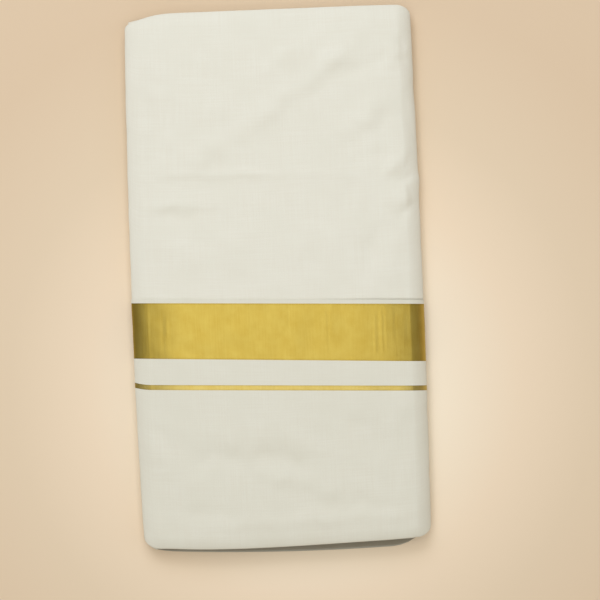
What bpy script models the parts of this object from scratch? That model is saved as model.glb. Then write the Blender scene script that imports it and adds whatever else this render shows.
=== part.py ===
"""A folded cotton dhoti: one unstitched woven length, folded flat and lying on a surface.

The width of the cloth is folded first, into a page: the border end is a flap over the front
of the body ply. The page is then folded in half four times along its length, so sixteen
pages lie on each other. The last fold is the spine, at +X. The cover page shows all round:
front, spine and underside, and its flap carries the woven gold band and the thin gold line.

Metres, +Z up. +Y runs to the head fold, the origin is under the middle of the packet.
"""

import math

import bmesh
import bpy

# The packet's own sizes.
HALF_LENGTH = 0.2100
HALF_WIDTH = 0.1143
HEIGHT = 0.0220

# How the outline leaves a plain rectangle.
BARREL = 0.031  # share of the half width lost at the head and the foot
CORNER = 0.011
HEAD_LEFT_CORNER = 0.005
DROOP = 0.0064  # the head's left corner also hangs back by this
DROOP_REACH = 0.032
FOOT_STEP = (0.0012, 0.0044)  # the front cover stops short of the pages under it, left and right
FOOT_STEP_FROM, FOOT_STEP_TO = -0.085, 0.070
UNDER_CORNER = 0.015  # the lower pages' right foot corner is rounder by this

# How the front face falls towards its edges.
SIDE_FALL = 0.12
SIDE_FALL_FROM = 0.066
END_FALL = 0.10
END_FALL_FROM = 0.172

# The folds at the sides: their reach along X, and the share of the height that a nose wraps.
SPINE_REACH = 0.0100
UPPER_NOSE_REACH = 0.0070
LOWER_NOSE_REACH = 0.0040
UPPER_NOSE_SHARE = 0.5
LOWER_NOSE_SHARE = 0.34

# Walls, measured as depths under the packet's outer surface.
PLY = 0.0010
GAP = 0.0003
CORE_GAP = 0.0012
FRONT_STEP = 0.0008  # the flap stands this proud of the body ply on the front
STEP_REACH = 0.003
TUCKED = PLY + GAP
PAGE_INSIDE = TUCKED + PLY
CORE_DEPTH = PAGE_INSIDE + CORE_GAP

# The border, down from the selvedge at the middle of the packet. It runs askew to the packet.
SELVEDGE_Y = -0.0161
BORDER_SLOPE = math.tan(math.radians(2.4))
STRIPS = (
    # name, width along Y, colour
    ("flap_selvedge", 0.0030, "cotton"),
    ("flap_zari_band", 0.0437, "zari"),
    ("flap_plain_stripe", 0.0197, "cotton"),
    ("flap_zari_line", 0.0036, "zari"),
)

# The stations along the cover's path, from the upper nose over the front and spine and back.
NOSE_STEPS = 5
FRONT_STEPS = 13
SPINE_STEPS = 8
UNDER_STEPS = 11

# The fourteen hidden pages show at their edges as ridges of two pages each.
CORE_RIDGES = 7
CORE_GROOVE = 0.0016
CORE_CAP_RINGS = (0.93, 0.80, 0.60, 0.30)
CORE_SIDE_POINTS = 15

COLOURS = {
    # name: linear colour, roughness, metallic
    "cotton": ((0.76, 0.73, 0.62, 1.0), 0.85, 0.0),
    "inner_cotton": ((0.68, 0.65, 0.55, 1.0), 0.9, 0.0),
    "zari": ((0.60, 0.42, 0.10, 1.0), 0.35, 1.0),
}


def clear_scene():
    for thing in list(bpy.data.objects):
        bpy.data.objects.remove(thing, do_unlink=True)


def make_material(name):
    colour, roughness, metallic = COLOURS[name]
    material = bpy.data.materials.new(name)
    material.use_nodes = True
    shader = material.node_tree.nodes["Principled BSDF"]
    shader.inputs["Base Color"].default_value = colour
    shader.inputs["Roughness"].default_value = roughness
    shader.inputs["Metallic"].default_value = metallic
    return material


def clamp(value, low, high):
    return max(low, min(high, value))


def share_between(value, start, end):
    """0 before start, 1 after end, smooth in between."""
    t = clamp((value - start) / (end - start), 0.0, 1.0)
    return t * t * (3 - 2 * t)


def corner_cut(from_side, radius):
    """How far a round corner has come in, this far from the side."""
    left = clamp(radius - from_side, 0.0, radius)
    return radius - math.sqrt(radius**2 - left**2)


def head_edge(x):
    droop = DROOP * clamp(1 - (HALF_WIDTH + x) / DROOP_REACH, 0.0, 1.0) ** 2
    radius = CORNER if x > 0 else HEAD_LEFT_CORNER
    return HALF_LENGTH - corner_cut(HALF_WIDTH - abs(x), radius) - droop


def foot_edge(x, front):
    """The foot's edge. The front cover, where front is 1, stops short of what lies under it."""
    low, high = FOOT_STEP
    step = low + (high - low) * share_between(x, FOOT_STEP_FROM, FOOT_STEP_TO)
    radius = CORNER
    if x > 0:
        radius += UNDER_CORNER * (1 - share_between(front, 0.0, 0.5))
    return -HALF_LENGTH + corner_cut(HALF_WIDTH - abs(x), radius) + front * step


def selvedge(x):
    return SELVEDGE_Y - x * BORDER_SLOPE


def roof(x, y):
    """The packet's height at a place. Past a side fold's centre it stays as it is there."""
    x = clamp(x, UPPER_NOSE_REACH - HALF_WIDTH, HALF_WIDTH - SPINE_REACH)
    side = clamp((abs(x) - SIDE_FALL_FROM) / (HALF_WIDTH - SPINE_REACH - SIDE_FALL_FROM), 0.0, 1.0)
    end = clamp((abs(y) - END_FALL_FROM) / (HALF_LENGTH - END_FALL_FROM), 0.0, 1.0)
    return HEIGHT * (1 - SIDE_FALL * side**2) * (1 - END_FALL * end**2)


def placed(x, y, z):
    """A point of the straight packet, moved to the barrel shape that the packet has."""
    return (x * (1 - BARREL * (y / HALF_LENGTH) ** 2), y, z)


def eased(step, steps):
    """A share from 0 to 1 whose steps are short near both ends, where the corners are round."""
    return 0.5 - 0.5 * math.cos(math.pi * step / steps)


def path_stations():
    """The cover's path as (part, share along that part), starting inside the upper nose."""
    stations = [("upper_nose", i / NOSE_STEPS) for i in range(NOSE_STEPS)]
    stations += [("front", eased(i, FRONT_STEPS)) for i in range(FRONT_STEPS)]
    stations += [("spine", i / SPINE_STEPS) for i in range(SPINE_STEPS)]
    stations += [("under", eased(i, UNDER_STEPS)) for i in range(UNDER_STEPS)]
    stations += [("lower_nose", i / NOSE_STEPS) for i in range(NOSE_STEPS + 1)]
    return stations


def station_x(part, share, depth):
    """Where a station is across the packet, at a depth under the outer surface."""
    upper_x = UPPER_NOSE_REACH - HALF_WIDTH
    lower_x = LOWER_NOSE_REACH - HALF_WIDTH
    spine_x = HALF_WIDTH - SPINE_REACH
    if part == "upper_nose":
        return upper_x - (UPPER_NOSE_REACH - depth) * math.sin(math.pi * share)
    if part == "front":
        return upper_x + (spine_x - upper_x) * share
    if part == "spine":
        return spine_x + (SPINE_REACH - depth) * math.sin(math.pi * share)
    if part == "under":
        return spine_x + (lower_x - spine_x) * share
    return lower_x - (LOWER_NOSE_REACH - depth) * math.sin(math.pi * share)


def station_z(part, share, depth, x, y):
    """How high a station is, at a depth under the outer surface."""
    top = roof(x, y)
    turn = math.cos(math.pi * share)
    if part == "upper_nose":
        half = top * UPPER_NOSE_SHARE / 2
        return top - half - (half - depth) * turn
    if part == "front":
        return top - depth
    if part == "spine":
        return top / 2 + (top / 2 - depth) * turn
    if part == "under":
        return depth
    half = top * LOWER_NOSE_SHARE / 2
    return half - (half - depth) * turn


def frontness(part, share):
    """1 on the front, 0 on the underside, in between round the spine."""
    if part == "spine":
        return 1 - share
    return 1.0 if part in ("upper_nose", "front") else 0.0


def cover_ring(edge, front_outer, under_outer, inner):
    """One ring of a cover piece: along its outer surface, and back along its inner one.

    edge(x, front) gives the ring's y, and the other three are depths under the surface.
    """
    outside, inside = [], []
    for part, share in path_stations():
        front = frontness(part, share)
        outer = front * front_outer + (1 - front) * under_outer
        for depth, points in ((outer, outside), (inner, inside)):
            x = station_x(part, share, depth)
            y = edge(x, front)
            points.append(placed(x, y, station_z(part, share, depth, x, y)))
    return outside + inside[::-1]


def solid_from_rings(name, rings, material, cap):
    """Bridges closed rings in turn, closes both ends with cap, and names the object."""
    mesh = bmesh.new()
    rows = [[mesh.verts.new(point) for point in ring] for ring in rings]
    count = len(rows[0])
    for row, following in zip(rows, rows[1:]):
        for i in range(count):
            j = (i + 1) % count
            mesh.faces.new((row[i], row[j], following[j], following[i]))
    cap(mesh, rows[0])
    cap(mesh, rows[-1])
    bmesh.ops.recalc_face_normals(mesh, faces=mesh.faces)
    data = bpy.data.meshes.new(name)
    mesh.to_mesh(data)
    mesh.free()
    data.materials.append(material)
    data.shade_smooth()
    data.set_sharp_from_angle(angle=math.radians(40))
    thing = bpy.data.objects.new(name, data)
    bpy.context.scene.collection.objects.link(thing)
    return thing


def strip_cap(mesh, row):
    """Closes a cover ring between its outer and its inner side."""
    half = len(row) // 2
    for i in range(half - 1):
        mesh.faces.new((row[i], row[i + 1], row[-2 - i], row[-1 - i]))


def fan_cap(mesh, row):
    """Closes a ring of the core with a fan round its middle."""
    middle = mesh.verts.new(
        [sum(vert.co[axis] for vert in row) / len(row) for axis in range(3)]
    )
    for first, second in zip(row, row[1:] + row[:1]):
        mesh.faces.new((first, second, middle))


def between(start, end, share):
    """An edge that lies part of the way from one edge to another."""
    return lambda x, front: start(x, front) * (1 - share) + end(x, front) * share


def below_selvedge(distance):
    return lambda x, front: selvedge(x) - distance


def head(inset):
    return lambda x, front: head_edge(x) - inset


def foot(inset):
    return lambda x, front: foot_edge(x, front) + inset


def build_body_ply(material):
    """The cover page's body: tucked under the flap at the foot, and folded at the head."""
    fold = (PAGE_INSIDE - FRONT_STEP) / 2
    page_end = PAGE_INSIDE + 6 * GAP
    rings = [cover_ring(foot(page_end), TUCKED, TUCKED, PAGE_INSIDE)]
    for share in (0.1, 0.45, 0.8):
        edge = between(foot(page_end), below_selvedge(0.0), share)
        rings.append(cover_ring(edge, TUCKED, TUCKED, PAGE_INSIDE))
    rings.append(cover_ring(below_selvedge(-GAP), TUCKED, TUCKED, PAGE_INSIDE))
    for share in (0.0, 0.3, 0.6, 0.85, 0.95):
        edge = between(below_selvedge(-STEP_REACH), head(fold), share)
        rings.append(cover_ring(edge, FRONT_STEP, 0.0, PAGE_INSIDE))
    rings.append(cover_ring(head(fold), FRONT_STEP, 0.0, PAGE_INSIDE))
    for turn in (45, 80):
        sine, cosine = math.sin(math.radians(turn)), math.cos(math.radians(turn))
        middle = FRONT_STEP + fold
        under = PAGE_INSIDE / 2
        rings.append(
            cover_ring(
                head(fold * (1 - sine)),
                middle - fold * cosine,
                under * (1 - cosine),
                middle + fold * cosine,
            )
        )
    return solid_from_rings("body_ply", rings, material, strip_cap)


def build_flap_strips(materials):
    """The woven stripes of the flap, from the selvedge towards the foot."""
    start = 0.0
    for name, width, colour in STRIPS:
        rings = [
            cover_ring(below_selvedge(start + width * share), 0.0, 0.0, PLY)
            for share in (0.0, 0.5, 1.0)
        ]
        solid_from_rings(name, rings, materials[colour], strip_cap)
        start += width + GAP
    return start


def build_foot_panel(start, material):
    """The plain cloth under the gold line. Its foot folds in round the body ply's end."""
    wall = PAGE_INSIDE - PLY / 2
    rings = [
        cover_ring(between(below_selvedge(start), foot(wall), share), 0.0, 0.0, PLY)
        for share in (0.0, 0.3, 0.6, 0.85, 1.0)
    ]
    rings.append(cover_ring(foot(wall - PLY / 10), 0.0, 0.0, PAGE_INSIDE))
    middle = PAGE_INSIDE / 2
    for turn in (45, 80):
        sine, cosine = math.sin(math.radians(turn)), math.cos(math.radians(turn))
        rings.append(
            cover_ring(
                foot((wall - PLY / 10) * (1 - sine)),
                middle * (1 - cosine),
                middle * (1 - cosine),
                middle * (1 + cosine),
            )
        )
    return solid_from_rings("flap_foot_panel", rings, material, strip_cap)


def nose_inset(height, reach, middle, half):
    """How far a round side of the core is from the packet's edge, this high up."""
    across = clamp((height - middle) / (half - CORE_DEPTH), -1.0, 1.0)
    return reach - (reach - CORE_DEPTH) * math.sqrt(1 - across**2)


def spine_inset(share):
    """The core's inset at the spine. share is 0 at its underside and 1 at its top."""
    return SPINE_REACH - (SPINE_REACH - CORE_DEPTH) * math.sqrt(1 - (2 * share - 1) ** 2)


def left_inset(share, groove):
    """The core's inset at the left: clear of the two noses, and out to the edge in between."""
    clear_of_upper = UPPER_NOSE_REACH + 2 * GAP
    clear_of_lower = LOWER_NOSE_REACH + 2 * GAP
    if share > UPPER_NOSE_SHARE + 0.12:
        top = roof(-HALF_WIDTH, 0.0)
        half = top * UPPER_NOSE_SHARE / 2
        height = CORE_DEPTH + share * (top - 2 * CORE_DEPTH)
        return nose_inset(height, clear_of_upper, top - half, half)
    if share > UPPER_NOSE_SHARE - 0.10:
        return clear_of_upper
    if share < LOWER_NOSE_SHARE:
        return clear_of_lower
    return CORE_DEPTH + groove


def core_ring(share, groove, scale):
    """A ring of the core, at a share of its height. scale under 1 draws it in, for the caps."""
    left = -HALF_WIDTH + left_inset(share, groove)
    right = HALF_WIDTH - spine_inset(share)
    ends = CORE_DEPTH + groove
    steps = [eased(i, CORE_SIDE_POINTS) for i in range(CORE_SIDE_POINTS)]
    points = []
    for step in steps:
        x = left + (right - left) * step
        points.append((x, foot_edge(x, share) + ends))
    for step in steps:
        low, high = foot_edge(right, share) + ends, head_edge(right) - ends
        points.append((right, low + (high - low) * step))
    for step in steps:
        x = right + (left - right) * step
        points.append((x, head_edge(x) - ends))
    for step in steps:
        low, high = foot_edge(left, share) + ends, head_edge(left) - ends
        points.append((left, high + (low - high) * step))
    ring = []
    for x, y in points:
        x, y = x * scale, y * scale
        z = CORE_DEPTH + share * (roof(x, y) - 2 * CORE_DEPTH)
        ring.append(placed(x, y, z))
    return ring


def build_inner_pages(material):
    """The hidden pages as one rounded solid, ridged at its edges where the pages end."""
    rings = [core_ring(0.0, CORE_GROOVE, scale) for scale in CORE_CAP_RINGS[::-1]]
    for i in range(CORE_RIDGES):
        low, high = i / CORE_RIDGES, (i + 1) / CORE_RIDGES
        for share, groove in (
            (low, CORE_GROOVE),
            (low + (high - low) * 0.3, 0.0),
            (low + (high - low) * 0.7, 0.0),
        ):
            rings.append(core_ring(share, groove, 1.0))
    rings.append(core_ring(1.0, CORE_GROOVE, 1.0))
    rings += [core_ring(1.0, CORE_GROOVE, scale) for scale in CORE_CAP_RINGS]
    return solid_from_rings("inner_pages", rings, material, fan_cap)


def main():
    clear_scene()
    materials = {name: make_material(name) for name in COLOURS}
    build_inner_pages(materials["inner_cotton"])
    build_body_ply(materials["cotton"])
    after_strips = build_flap_strips(materials)
    build_foot_panel(after_strips, materials["cotton"])


main()
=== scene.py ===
"""A folded cotton dhoti with a gold zari border, lying flat: the fine cloth over the CAD frame."""

import math

import bpy
import numpy as np
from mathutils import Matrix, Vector


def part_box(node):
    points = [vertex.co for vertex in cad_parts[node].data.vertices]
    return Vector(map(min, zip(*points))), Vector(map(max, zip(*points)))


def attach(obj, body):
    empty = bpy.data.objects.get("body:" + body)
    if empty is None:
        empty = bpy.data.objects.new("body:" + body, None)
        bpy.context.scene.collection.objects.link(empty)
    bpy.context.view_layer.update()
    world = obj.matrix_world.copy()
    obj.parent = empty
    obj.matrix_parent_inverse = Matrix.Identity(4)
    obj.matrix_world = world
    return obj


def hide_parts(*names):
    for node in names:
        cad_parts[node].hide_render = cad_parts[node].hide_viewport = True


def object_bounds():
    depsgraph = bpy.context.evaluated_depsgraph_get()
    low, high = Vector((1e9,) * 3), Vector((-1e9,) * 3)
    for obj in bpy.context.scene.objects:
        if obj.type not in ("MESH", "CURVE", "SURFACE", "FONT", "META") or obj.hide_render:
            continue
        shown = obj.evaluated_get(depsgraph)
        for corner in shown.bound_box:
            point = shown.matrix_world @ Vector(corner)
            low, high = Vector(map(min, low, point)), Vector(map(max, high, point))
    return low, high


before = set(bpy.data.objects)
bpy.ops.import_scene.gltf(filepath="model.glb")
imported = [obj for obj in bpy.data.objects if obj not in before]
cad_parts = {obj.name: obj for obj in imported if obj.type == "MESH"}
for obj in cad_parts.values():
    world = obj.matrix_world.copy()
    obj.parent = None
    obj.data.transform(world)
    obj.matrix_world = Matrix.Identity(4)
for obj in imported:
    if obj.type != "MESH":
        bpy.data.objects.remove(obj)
cad_low, cad_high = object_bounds()

# ---------------------------------------------------------------- the body ply
# The plain ground of the dhoti, as the cover page shows it: the front above the border flap,
# round the spine fold, and the underside. One ply of bleached handloom cotton, starched and
# folded by hand. It runs on under the flap to the foot, and folds back inside at the head.

MM = 0.001
HALF_LENGTH = (cad_high.y - cad_low.y) / 2
HALF_WIDTH = (cad_high.x - cad_low.x) / 2
HEIGHT = cad_high.z

# The outline: slightly barrel shaped, with its head's left corner hanging back.
# How far in each side comes at the head and at the foot, as a share of the half width.
LEFT_PULL = (0.026, 0.029)
RIGHT_PULL = (0.013, 0.016)
# Each corner's cut, as its width along the head or foot and its depth along the side.
HEAD_RIGHT_CORNER = (12 * MM, 7.5 * MM)
HEAD_LEFT_CORNER = (2.5 * MM, 2.5 * MM)
FOOT_RIGHT_CORNER = (16 * MM, 11 * MM)
FOOT_LEFT_CORNER = (13 * MM, 9 * MM)
DROOP, DROOP_REACH = 8.0 * MM, 38 * MM
FOOT_STEP_LEFT, FOOT_STEP_RIGHT = 1.9 * MM, 5.2 * MM
FOOT_STEP_FROM, FOOT_STEP_TO = -85 * MM, 70 * MM
UNDER_PROUD = 1.8 * MM
FOOT_LEFT_TAPER, FOOT_LEFT_SHARE = (-122 * MM, -90 * MM), 0.15
FOOT_BOW, FOOT_BOW_MIDDLE, FOOT_BOW_HALF = 2.7 * MM, 25 * MM, 100 * MM
UNDER_CORNER = 15 * MM

# The front: a low crown that falls to the sides and rolls off at the head and the foot.
SIDE_FALL_LEFT, SIDE_FALL_RIGHT, SIDE_FALL_FROM = 3.3 * MM, 2.3 * MM, 66 * MM
END_FALL, END_FALL_FROM = 1.8 * MM, 172 * MM
END_ROLL, END_ROLL_REACH = 2.1 * MM, 10 * MM

# The folds at the sides. A pinch of 1 is a round fold, and a higher one has a sharper shoulder.
SPINE_REACH = 12 * MM
UPPER_NOSE_REACH, UPPER_NOSE_SHARE = 14 * MM, 0.57
LOWER_NOSE_REACH, LOWER_NOSE_SHARE = 4 * MM, 0.34
TUCK = 5 * MM
SHOULDER_PINCH = 1.42

# The plies, as depths under the packet's outer surface.
PLY = 0.35 * MM
FRONT_STEP = 0.45 * MM
TUCKED, TUCKED_TO = 0.55 * MM, 0.6 * MM
UNDER_FLAP, UNDER_FLAP_TO = 2.1 * MM, 5 * MM
STEP_REACH = 1.6 * MM
CREVICE_LEFT, CREVICE_RIGHT, CREVICE_WIDTH = 0.05 * MM, 0.8 * MM, 0.9 * MM
CREVICE_ABOVE, CREVICE_FROM, CREVICE_TO = 0.1 * MM, 10 * MM, 105 * MM
HEAD_FOLD = 0.5 * MM
FOLD_TURNS = (22, 45, 68, 90, 112, 135, 158, 180)
HEAD_RETURN = 14 * MM
BODY_SHORT = 4 * MM
HIDDEN_ROWS, HIDDEN_TO = 9, 0.93

# The selvedge's place is read from its CAD node, which runs askew to the packet.
BORDER_SLOPE = math.tan(math.radians(2.4))

# How far apart the mesh's columns and rows are.
COLUMN = 1.5 * MM
ROW = 1.6 * MM
SHARP_ANGLE = math.radians(50)

# Creases and swells of the cloth, in mm. across is measured round the packet from the middle
# of its front: the spine is near 115, and the underside runs from 130 to 345.
# columns: across and along at one end, the same at the other, bow, width, rise
CREASES = (
    # the long diagonal fold of the front, and its fan at the head
    (80, 197, 40, 158, 0, 8, 1.05),
    (58, 171, -10, 123, -2, 8, 1.25),
    (2, 131, -66, 90, 0, 9, 1.20),
    (62, 202, 4, 168, 4, 10, 0.70),
    (2, 164, -60, 124, 0, 12, 0.60),
    (34, 188, -10, 158, 0, 5, 0.35),
    (66, 166, 26, 137, 0, 7, -0.35),
    # right of it, at the head
    (104, 176, 60, 154, 0, 6, -0.75),
    (99, 196, 94, 150, 0, 9, 0.90),
    (98, 142, 50, 108, 2, 9, 1.00),
    (92, 124, 58, 98, 0, 8, -0.70),
    (88, 94, 62, 87, 0, 6, -0.70),
    (84, 116, 60, 122, 0, 5, 0.40),
    # the press lines across the front
    (-88, 83.5, 20, 80.5, 0, 3.2, 0.56),
    (20, 80.5, 60, 78, 0, 3.2, 0.30),
    (-84, 74, -30, 72, 0, 7, -0.50),
    (-101, 59, -46, 59.5, 0, 4.0, 0.66),
    (-92, 50, -46, 52, 0, 6, -0.60),
    (-70, 92, -20, 90, 0, 5, -0.25),
    # the puckers at the spine
    (90, 87, 101, 82, 0, 9, 1.40),
    (88, 53, 104, 61, 0, 9, 1.50),
    (110, 78, 122, 70, 0, 6, 1.10),
    (98, 45, 114, 54, 3, 4, -1.10),
    (99, 72, 114, 78, 0, 3.2, -0.80),
    # low on the body
    (83, 36, 69, -2, -2, 7, -1.20),
    (98, 34, 88, -4, 0, 7, 0.80),
    (29, 39, 15, 12, 0, 7, 0.70),
    (54, 46, 40, 8, 0, 8, 0.60),
    (62, 72, 50, 44, 0, 7, -0.50),
    (-20, 34, -46, 10, 0, 12, 0.55),
    (-88, 36, -60, 12, 0, 10, 0.50),
    (-78, 30, -52, 30, 0, 6, -0.30),
    (-91, 172, -89, 108, 0, 7, 0.75),
    (-80, 140, -84, 98, 0, 6, -0.60),
    (101, 184, 108, 176, 0, 4.5, -0.80),
    (103, 171, 109, 163, 0, 4.5, -0.80),
    (106, 140, 109, 104, 0, 5, -0.45),
    # the flap's foot panel
    (-70, -139, 34, -146, 3, 8, -1.10),
    (-58, -121, 28, -122, 0, 13, 0.80),
    (6, -110, 30, -130, 0, 8, -0.60),
    (-18, -150, 40, -166, 0, 7, 1.00),
    (-100, -134, -62, -166, 0, 10, 0.65),
    (-96, -112, -88, -140, 0, 6, -0.50),
    (60, -110, 76, -138, 0, 10, -0.90),
    (28, -176, 84, -181, 0, 7, -0.80),
    (-64, -191, 100, -186, 0, 6, 0.75),
    (-96, -176, -40, -183, 0, 6, -0.50),
    (97, -88, 90, -120, 0, 9, 0.80),
    (-99, -96, -103, -150, 0, 9, 0.50),
    (98, -150, 88, -176, 0, 7, 0.45),
    # the spine's own dents
    (116, 150, 128, 132, 0, 6, -0.60),
    (118, 20, 130, 34, 0, 7, -0.55),
    (117, -104, 129, -120, 0, 7, -0.60),
    (119, -160, 128, -150, 0, 5, -0.45),
    # the underside, where creases are pressed in
    (160, 150, 250, 92, 4, 9, -0.75),
    (228, 70, 322, 66, 0, 4, -0.45),
    (150, 10, 176, 40, 0, 8, -0.60),
    (190, -110, 300, -122, -3, 8, -0.70),
    (282, 180, 320, 120, 2, 9, -0.60),
    (170, -170, 230, -150, 0, 7, -0.55),
)
CREASE_RISE = 1.15
CREASE_SEED = 11
# How a crease wavers, as a share of its width, and swells, as a share of its rise. Each has the
# length over which it does so, in mm a radian.
WAVER, FINE_WAVER = (0.22, 7), (0.1, 2.9)
SWELL, FINE_SWELL = (0.3, 9.5), (0.16, 3.7)
RIPPLES = 9
RIPPLE_HEIGHT = 0.11 * MM
RIPPLE_LENGTHS = (16, 46)
RIPPLE_BEND, RIPPLE_BEND_RATE = 1.6, 31
RIPPLE_SEED = 7


def share_between(value, start, end):
    """0 before start, 1 after end, smooth in between."""
    t = np.clip((value - start) / (end - start), 0, 1)
    return t * t * (3 - 2 * t)


def corner_cut(from_side, wide, deep):
    """How far a round corner has come in, this far from the side."""
    left = np.clip(1 - from_side / wide, 0, 1)
    return deep * (1 - np.sqrt(1 - left**2))


def head_edge(x):
    droop = DROOP * np.clip(1 - (HALF_WIDTH + x) / DROOP_REACH, 0, 1) ** 2
    from_side = HALF_WIDTH - abs(x)
    right, left = (corner_cut(from_side, *c) for c in (HEAD_RIGHT_CORNER, HEAD_LEFT_CORNER))
    return HALF_LENGTH - np.where(x > 0, right, left) - droop


def foot_edge(x, front):
    """The foot. The front cover, where front is 1, stops short of what lies under it."""
    step = FOOT_STEP_LEFT + (FOOT_STEP_RIGHT - FOOT_STEP_LEFT) * share_between(
        x, FOOT_STEP_FROM, FOOT_STEP_TO
    )
    from_side = HALF_WIDTH - abs(x)
    wide, deep = (v + UNDER_CORNER * (1 - share_between(front, 0, 0.5)) for v in FOOT_RIGHT_CORNER)
    right, left = corner_cut(from_side, wide, deep), corner_cut(from_side, *FOOT_LEFT_CORNER)
    bow = FOOT_BOW * (1 - ((x - FOOT_BOW_MIDDLE) / FOOT_BOW_HALF) ** 2)
    proud = UNDER_PROUD * (1 - front)
    at_left = share_between(x, *FOOT_LEFT_TAPER)
    step = step * (FOOT_LEFT_SHARE + (1 - FOOT_LEFT_SHARE) * at_left)
    proud = proud * at_left
    return -HALF_LENGTH + np.where(x > 0, right, left) + front * step - proud - bow


def roof(x, y):
    """The front's height. Past a side fold's start it stays as it is there."""
    x = np.clip(x, UPPER_NOSE_REACH - HALF_WIDTH, HALF_WIDTH - SPINE_REACH)
    side = np.clip((abs(x) - SIDE_FALL_FROM) / (HALF_WIDTH - SPINE_REACH - SIDE_FALL_FROM), 0, 1)
    end = np.clip((abs(y) - END_FALL_FROM) / (HALF_LENGTH - END_FALL_FROM), 0, 1)
    to_end = np.minimum(head_edge(x) - y, y - foot_edge(x, 1))
    roll = END_ROLL * np.clip(1 - to_end / END_ROLL_REACH, 0, 1) ** 2
    side_fall = np.where(x < 0, SIDE_FALL_LEFT, SIDE_FALL_RIGHT) * side**2
    return HEIGHT - side_fall - END_FALL * end**2 - roll


def barrel(x, y):
    """The share of its distance from the middle that a point keeps, as the sides come in."""
    at_head, at_foot = np.where(x < 0, [[v] for v in LEFT_PULL], [[v] for v in RIGHT_PULL])
    return 1 - np.where(y > 0, at_head, at_foot) * (y / HALF_LENGTH) ** 2


def make_columns(front_step):
    """The stations round the cover's path: the part that each is on, and its share along it."""
    counts = (
        # part, number of columns
        ("upper_tuck", 2),
        ("upper_nose", 18),
        ("front", round((2 * HALF_WIDTH - SPINE_REACH - UPPER_NOSE_REACH) / front_step)),
        ("spine", 30),
        ("under", 36),
        ("lower_nose", 12),
        ("lower_tuck", 2),
    )
    parts, shares = [], []
    for part, count in counts:
        parts += [part] * count
        shares += [i / count for i in range(count)]
    parts.append("lower_tuck")
    shares.append(1.0)
    columns = {"part": np.array(parts), "share": np.array(shares)}
    columns["front"] = np.select(
        [columns["part"] == "spine", np.isin(columns["part"], ("upper_tuck", "upper_nose", "front"))],
        [1 - columns["share"], 1.0],
        0.0,
    )
    x = across_place(columns, 0.0)
    z = height_place(columns, 0.0, x, np.zeros_like(x))
    steps = np.hypot(np.diff(x), np.diff(z))
    along = np.concatenate([[0], np.cumsum(steps)])
    columns["arc"] = along - np.interp(0.0, x[: np.argmax(x)], along[: np.argmax(x)])
    return columns


def round_the_fold(share):
    """(across, up) on a fold that starts on top and ends below, with pinched shoulders."""
    turn = np.pi * share
    up = np.cos(turn)
    return np.sin(turn) ** SHOULDER_PINCH, np.sign(up) * abs(up) ** SHOULDER_PINCH


def across_place(columns, depth):
    """Where the stations are across the packet, at a depth under its outer surface."""
    part, share = columns["part"], columns["share"]
    upper = UPPER_NOSE_REACH - HALF_WIDTH
    lower = LOWER_NOSE_REACH - HALF_WIDTH
    spine = HALF_WIDTH - SPINE_REACH
    out, _ = round_the_fold(share)
    choices = {
        "upper_tuck": upper + TUCK * (1 - share),
        "upper_nose": upper - (UPPER_NOSE_REACH - depth) * out,
        "front": upper + (spine - upper) * share,
        "spine": spine + (SPINE_REACH - depth) * out,
        "under": spine + (lower - spine) * share,
        "lower_nose": lower - (LOWER_NOSE_REACH - depth) * out,
        "lower_tuck": lower + TUCK * share,
    }
    return np.select([part == name for name in choices], list(choices.values()))


def height_place(columns, depth, x, y):
    """How high the stations are, at a depth under the outer surface."""
    part, share = columns["part"], columns["share"]
    top = roof(x, y)
    _, up = round_the_fold(share)
    upper_half = top * UPPER_NOSE_SHARE / 2
    lower_half = top * LOWER_NOSE_SHARE / 2
    choices = {
        "upper_tuck": top - 2 * upper_half + depth,
        "upper_nose": top - upper_half - (upper_half - depth) * up,
        "front": top - depth,
        "spine": top / 2 + (top / 2 - depth) * up,
        "under": depth + 0 * top,
        "lower_nose": lower_half - (lower_half - depth) * up,
        "lower_tuck": 2 * lower_half - depth,
    }
    return np.select([part == name for name in choices], list(choices.values()))


def crease_height(across, along):
    """The sum of the creases at a place, in metres. Each fades out at its two ends, wavers to
    the sides and grows deeper and shallower on its way, by seeded draws."""
    random = np.random.default_rng(CREASE_SEED)
    total = np.zeros_like(across)
    for x0, y0, x1, y1, bow, width, rise in CREASES:
        wander, swell, rough = random.uniform(0, 2 * np.pi, 3)
        reach = math.hypot(x1 - x0, y1 - y0)
        step_x, step_y = (x1 - x0) / reach, (y1 - y0) / reach
        from_x, from_y = across / MM - x0, along / MM - y0
        on = from_x * step_x + from_y * step_y
        t = on / reach
        off = from_y * step_x - from_x * step_y - bow * 4 * t * (1 - t)
        waver = WAVER[0] * np.sin(on / WAVER[1] + wander)
        off = off + width * (waver + FINE_WAVER[0] * np.sin(on / FINE_WAVER[1] + rough))
        past = np.clip(np.maximum(-t, t - 1), 0, None) * reach
        inside = np.sin(np.pi * np.clip(t * 0.7 + 0.15, 0, 1))
        uneven = 1 + SWELL[0] * np.sin(on / SWELL[1] + swell)
        uneven += FINE_SWELL[0] * np.sin(on / FINE_SWELL[1] + rough)
        bump = np.exp(-((off / width) ** 2) - (past / width) ** 2)
        total += CREASE_RISE * rise * MM * inside * uneven * bump
    return total


def ripple_height(across, along):
    """Faint swells that starched cloth always has: a few long waves that cross each other."""
    random = np.random.default_rng(RIPPLE_SEED)
    total = np.zeros_like(across)
    for _ in range(RIPPLES):
        turn, phase = random.uniform(0, 2 * np.pi, 2)
        length = random.uniform(*RIPPLE_LENGTHS) * MM
        place = across * math.cos(turn) + along * math.sin(turn)
        bend = RIPPLE_BEND * np.sin((across - along) * RIPPLE_BEND_RATE + phase)
        total += RIPPLE_HEIGHT * np.sin(2 * np.pi * place / length + phase + bend)
    return total / math.sqrt(RIPPLES)


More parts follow.
